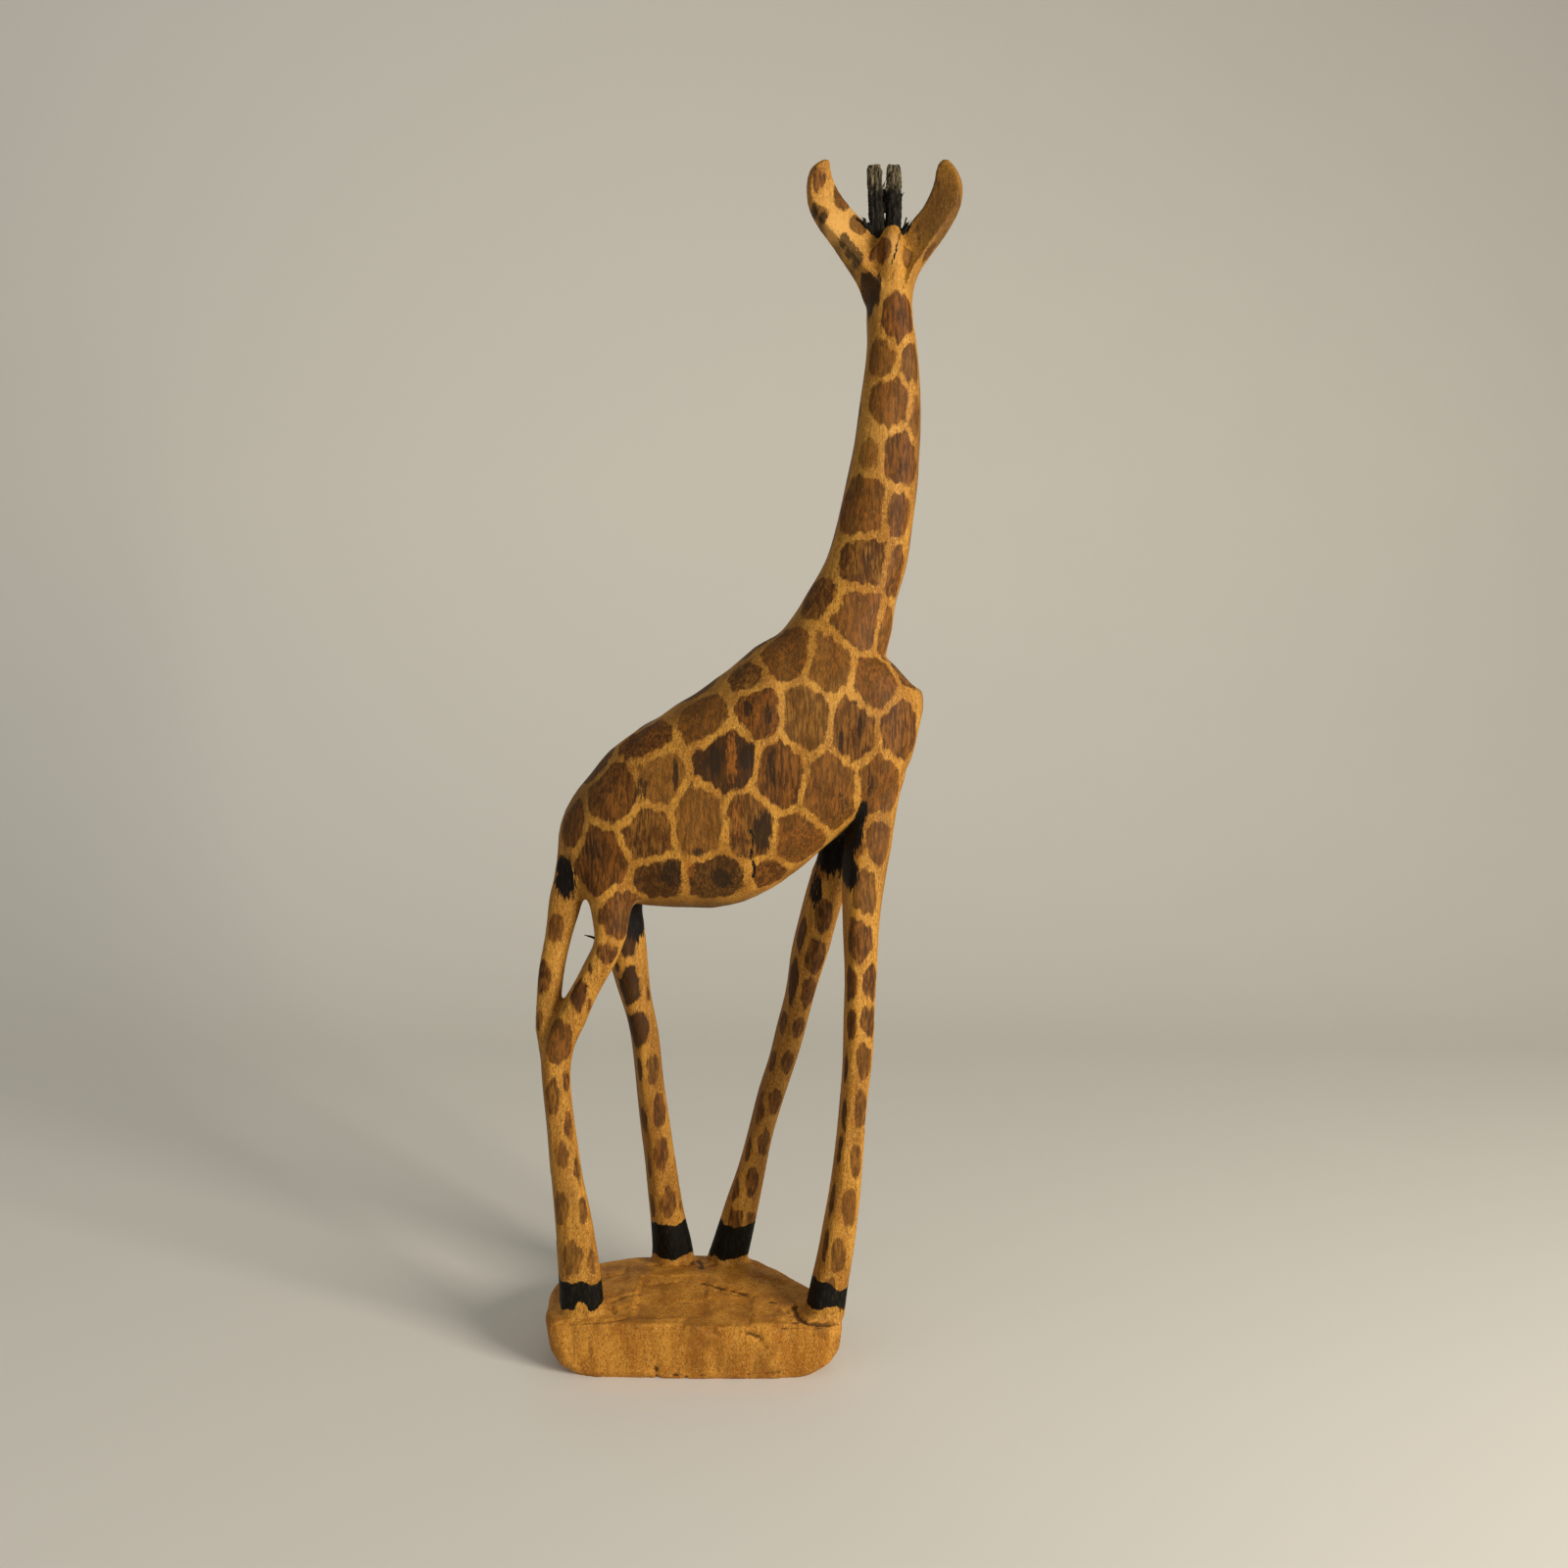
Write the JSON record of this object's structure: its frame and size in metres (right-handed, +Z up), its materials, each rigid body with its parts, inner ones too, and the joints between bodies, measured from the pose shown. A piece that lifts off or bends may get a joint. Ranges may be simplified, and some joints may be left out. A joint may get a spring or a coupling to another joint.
{
  "type": "carved wooden giraffe statue",
  "caption": "Slim whittled giraffe with its head turned to its left, on a low rounded base, with painted brown patches, black hooves and black horns.",
  "frame": {"origin": "on the base's underside, about a millimetre from its centre", "axes": "+X the way the body faces, +Y its left side, towards which the head is turned, +Z up"},
  "size_m": [0.1076, 0.0434, 0.305],
  "materials": {
    "spotted_wood": "satin, ochre wood with brown painted patches",
    "bare_wood": "satin, worn",
    "black_paint": "matte black paint on wood"
  },
  "bodies": {
    "root": {"base": "bare_wood", "torso": "spotted_wood", "neck": "spotted_wood", "head": "spotted_wood", "left_ear": "spotted_wood", "right_ear": "spotted_wood", "left_horn": "black_paint", "right_horn": "black_paint", "horn_web": "black_paint", "front_right_leg": "spotted_wood", "front_left_leg": "spotted_wood", "hind_right_leg": "spotted_wood", "hind_left_leg": "spotted_wood", "front_right_hoof": "black_paint", "front_left_hoof": "black_paint", "hind_right_hoof": "black_paint", "hind_left_hoof": "black_paint", "tail": "spotted_wood"}
  },
  "joints": []
}
